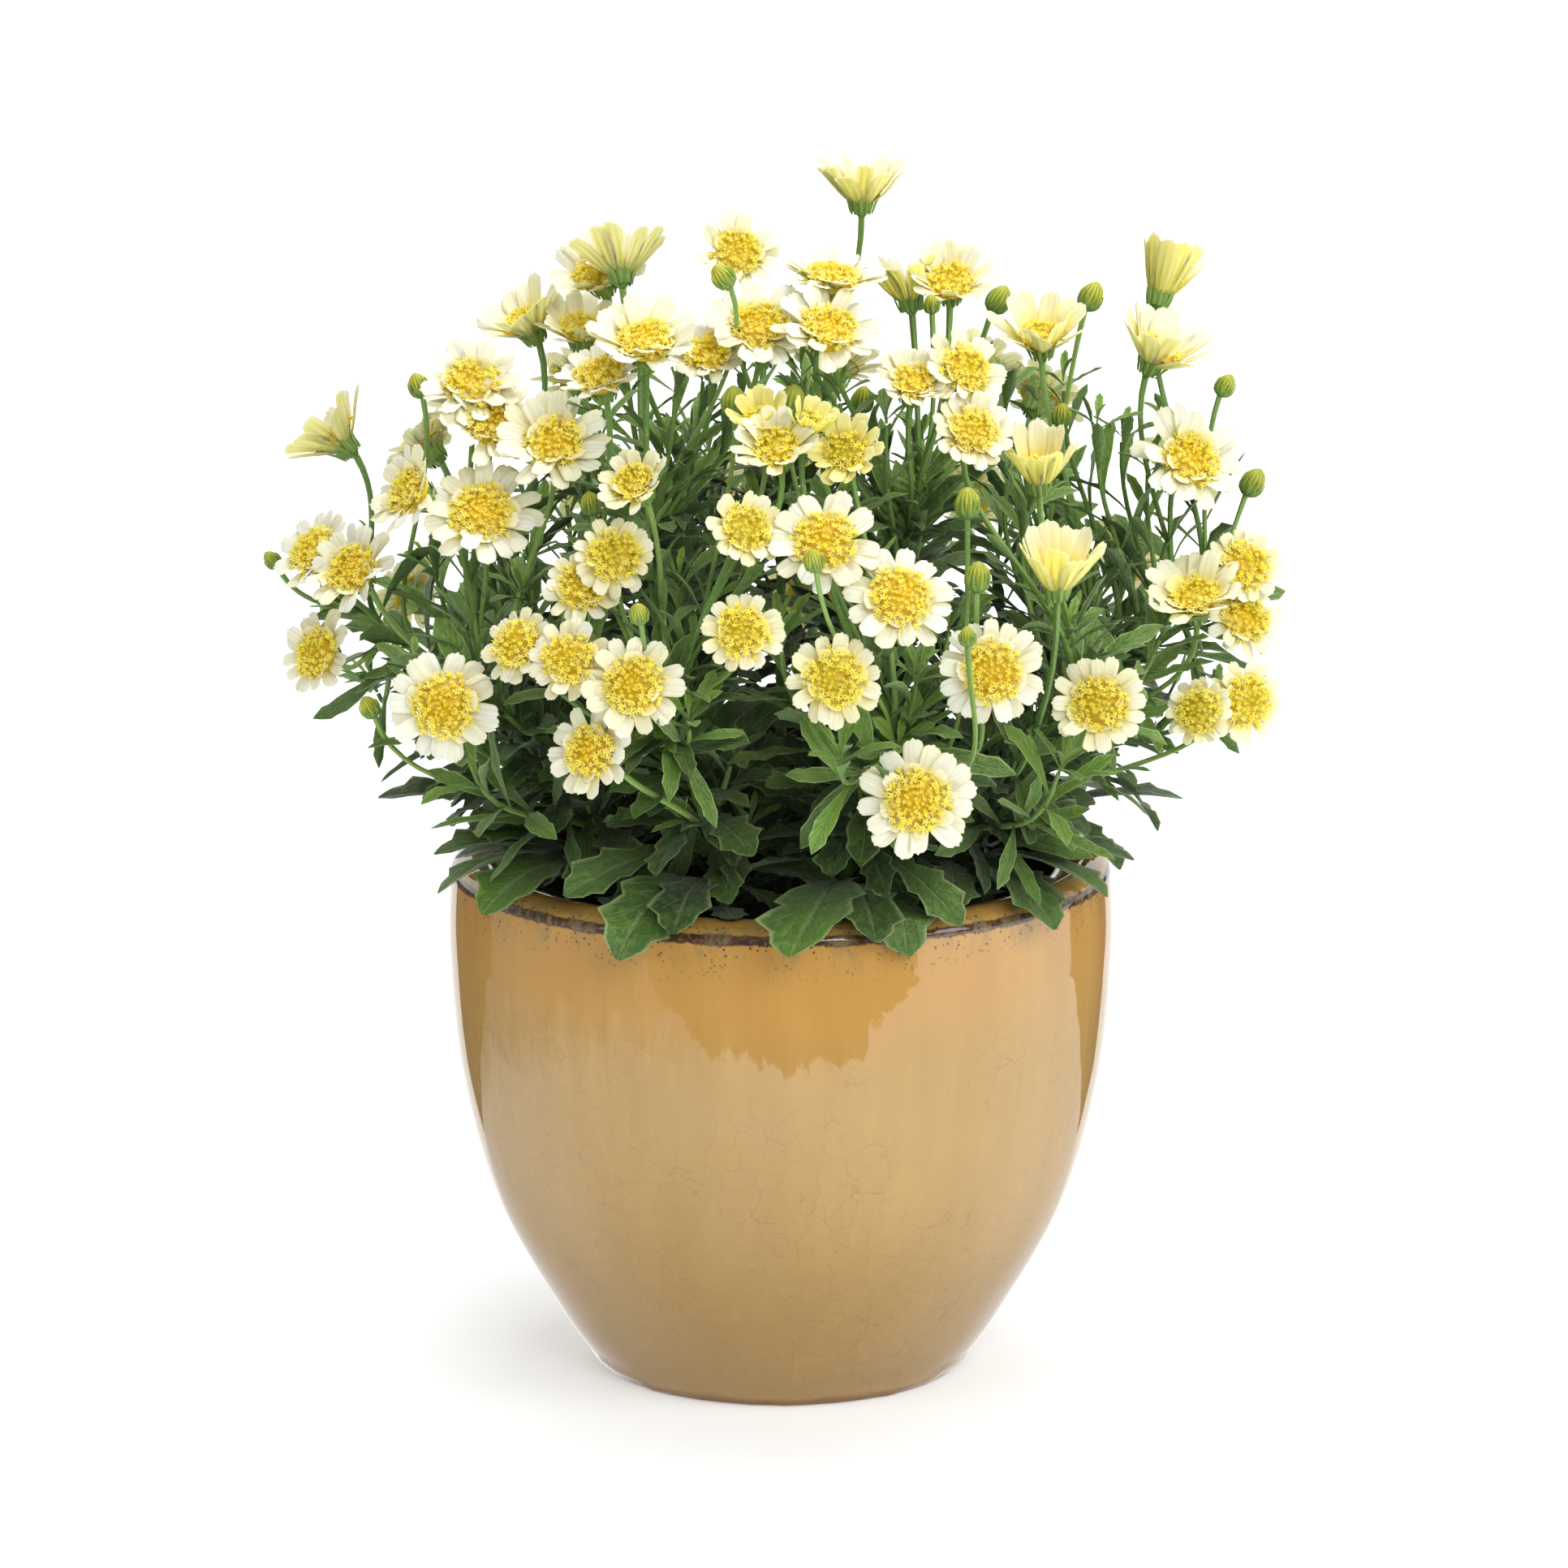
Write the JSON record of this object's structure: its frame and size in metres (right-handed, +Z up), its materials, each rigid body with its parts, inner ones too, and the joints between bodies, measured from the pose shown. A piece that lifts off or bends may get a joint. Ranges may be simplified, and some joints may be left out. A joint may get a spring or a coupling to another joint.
{
  "type": "potted osteospermum plant",
  "caption": "Osteospermum in full cream and yellow bloom over toothed leaves, in a round glazed stoneware pot that stands on its foot ring.",
  "frame": {"origin": "middle of the pot's foot ring, on the surface that it stands on", "axes": "+Z up the pot and plant, -Y the front, +X to the right seen from the front"},
  "size_m": [0.4598, 0.4226, 0.5562],
  "materials": {
    "glaze": "glossy caramel glaze with fine crackle",
    "compost": "damp crumbly bark and peat compost",
    "foliage": "finely haired green leaves and stalks",
    "petals": "satin cream petals round yellow florets"
  },
  "bodies": {
    "root": {"pot": "glaze", "compost": "compost", "shoot_01": "foliage", "shoot_02": "foliage", "shoot_03": "foliage", "shoot_04": "foliage", "shoot_05": "foliage", "shoot_06": "foliage", "shoot_07": "foliage", "shoot_08": "foliage", "shoot_09": "foliage", "shoot_10": "foliage", "shoot_11": "foliage", "shoot_12": "foliage", "shoot_13": "foliage", "shoot_14": "foliage", "shoot_15": "foliage", "heads_peak": "petals", "heads_high_left": "petals", "heads_upper_left": "petals", "heads_crown_left": "petals", "heads_crown_back": "petals", "heads_crown": "petals", "heads_upper_right": "petals", "heads_inner_right": "petals", "head_right_cup": "petals", "head_far_right_high": "petals", "head_far_right": "petals", "head_right_wide": "petals", "heads_left": "petals", "head_far_left": "petals", "heads_left_edge": "petals", "heads_low_left": "petals", "head_left_edge_low": "petals", "head_inner_left": "petals", "heads_middle_left": "petals", "heads_front_left": "petals", "head_low_left": "petals", "heads_middle": "petals", "heads_centre": "petals", "head_front_high": "petals", "head_front_middle": "petals", "head_front_low": "petals", "head_front_right": "petals", "head_right_goblet": "petals", "head_inner_cup": "petals", "head_low_right": "petals", "heads_right_edge": "petals", "heads_low_right_edge": "petals", "heads_back_left_high": "petals", "heads_back_crown_left": "petals", "heads_back_crown": "petals", "heads_back_crown_right": "petals", "head_back_right_high": "petals", "head_back_left": "petals", "heads_back_middle": "petals", "head_back_right": "petals", "head_back_right_low": "petals", "head_back_left_low": "petals", "head_back_low": "petals"}
  },
  "joints": []
}
